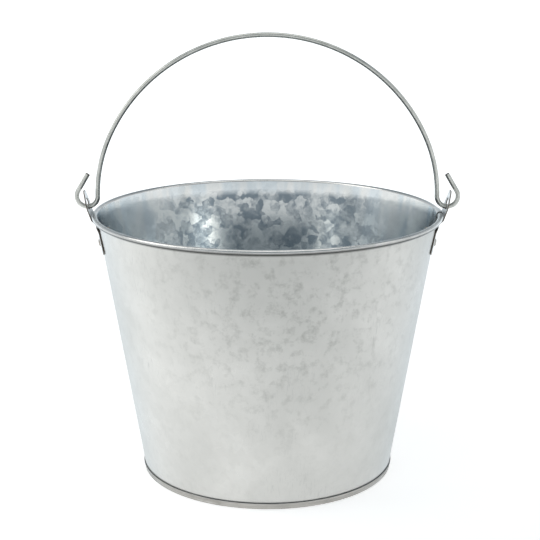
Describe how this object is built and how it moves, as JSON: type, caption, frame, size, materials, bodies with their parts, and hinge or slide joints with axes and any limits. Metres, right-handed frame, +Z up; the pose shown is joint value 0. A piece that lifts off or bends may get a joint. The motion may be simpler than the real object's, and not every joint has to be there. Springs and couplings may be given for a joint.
{
  "type": "ice bucket",
  "caption": "Tapered galvanised steel pail for ice and bottles, with a wired rim, a folded foot, riveted ears and a swinging wire bail.",
  "frame": {"origin": "centre of the foot's bottom plane, under the bucket's axis", "axes": "+Z up along the bucket's axis, +X along the bail's hinge axis towards the ear that covers the wall's side seam, -Y towards the front"},
  "size_m": [0.3422, 0.31, 0.393],
  "materials": {
    "galvanised_sheet": "bright galvanised sheet with faint spangle and handling smudges",
    "galvanised_pan": "galvanised sheet, slightly worn at the foot",
    "galvanised_pressing": "galvanised pressing with dark cut edges",
    "rivet_steel": "dull plated steel",
    "rim_wire": "drawn wire",
    "galvanised_wire": "dull galvanised wire"
  },
  "bodies": {
    "bucket": {"wall_shell": "galvanised_sheet", "rim_wire": "rim_wire", "bottom_pan": "galvanised_pan", "left_ear": "galvanised_pressing", "right_ear": "galvanised_pressing", "left_front_rivet": "rivet_steel", "left_rear_rivet": "rivet_steel", "right_front_rivet": "rivet_steel", "right_rear_rivet": "rivet_steel"},
    "bail": {"bail": "galvanised_wire"}
  },
  "joints": [
    {"name": "bail_swing", "type": "hinge", "parent": "bucket", "child": "bail", "pos_m": [0, 0, 0.24], "axis": [1, 0, 0], "range_deg": [-90.5, 90.5]}
  ]
}
